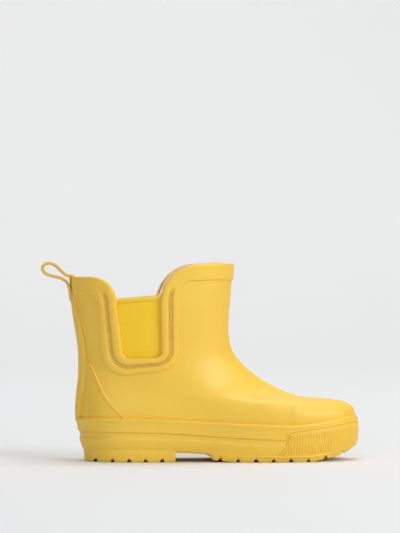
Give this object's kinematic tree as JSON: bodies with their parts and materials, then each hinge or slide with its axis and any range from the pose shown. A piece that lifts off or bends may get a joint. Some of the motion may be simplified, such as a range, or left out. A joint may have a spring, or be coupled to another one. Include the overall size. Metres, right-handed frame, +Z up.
{
  "type": "rubber rain boot",
  "caption": "Child's ankle-height pull-on rubber rain boot with elastic side gores, a ribbed toe bumper, a heeled tread sole and a webbing pull loop at the heel.",
  "frame": {"origin": "on the ground, at the middle of the overall box of the boot and its pull loop", "axes": "+X towards the toe, +Y towards the inner (medial) side of the foot, +Z up out of the shaft"},
  "size_m": [0.2242, 0.0746, 0.1402],
  "materials": {
    "rubber_upper": "satin moulded rubber",
    "rubber_sole": "satin moulded rubber, faintly textured",
    "elastic": "ribbed elastic webbing",
    "thread": "twisted sewing thread",
    "jersey": "knitted jersey",
    "webbing": "woven webbing",
    "board": "pressed fibre board and felt"
  },
  "bodies": {
    "boot": {"upper_shell": "rubber_upper", "toe_cap": "rubber_upper", "topline_band": "rubber_upper", "heel_counter": "rubber_upper", "back_stay": "rubber_upper", "upper_sidewall": "rubber_sole", "lower_sidewall": "rubber_sole", "toe_bumper": "rubber_sole", "heel_tread": "rubber_sole", "forefoot_tread": "rubber_sole", "elastic_gore_lateral": "elastic", "elastic_gore_medial": "elastic", "gore_binding_lateral": "elastic", "gore_binding_medial": "elastic", "gore_stitching_lateral": "thread", "gore_stitching_medial": "thread", "jersey_lining": "jersey", "pull_loop_outer_end": "webbing", "pull_loop_inner_end": "webbing", "heel_stiffener": "board", "toe_puff": "board", "sole_filler": "board", "insole_board": "board"},
    "pull_loop": {"pull_loop": "webbing"},
    "footbed": {"footbed": "jersey"}
  },
  "joints": [
    {"name": "pull_loop_flex", "type": "hinge", "parent": "boot", "child": "pull_loop", "pos_m": [-0.0952, 0, 0.1292], "axis": [0, 1, 0], "range_deg": [-45, 45], "stiffness_Nm_per_rad": 0.01},
    {"name": "footbed_lift", "type": "hinge", "parent": "boot", "child": "footbed", "pos_m": [0.1035, 0, 0.0155], "axis": [0, 1, 0], "range_deg": [0, 8]}
  ]
}
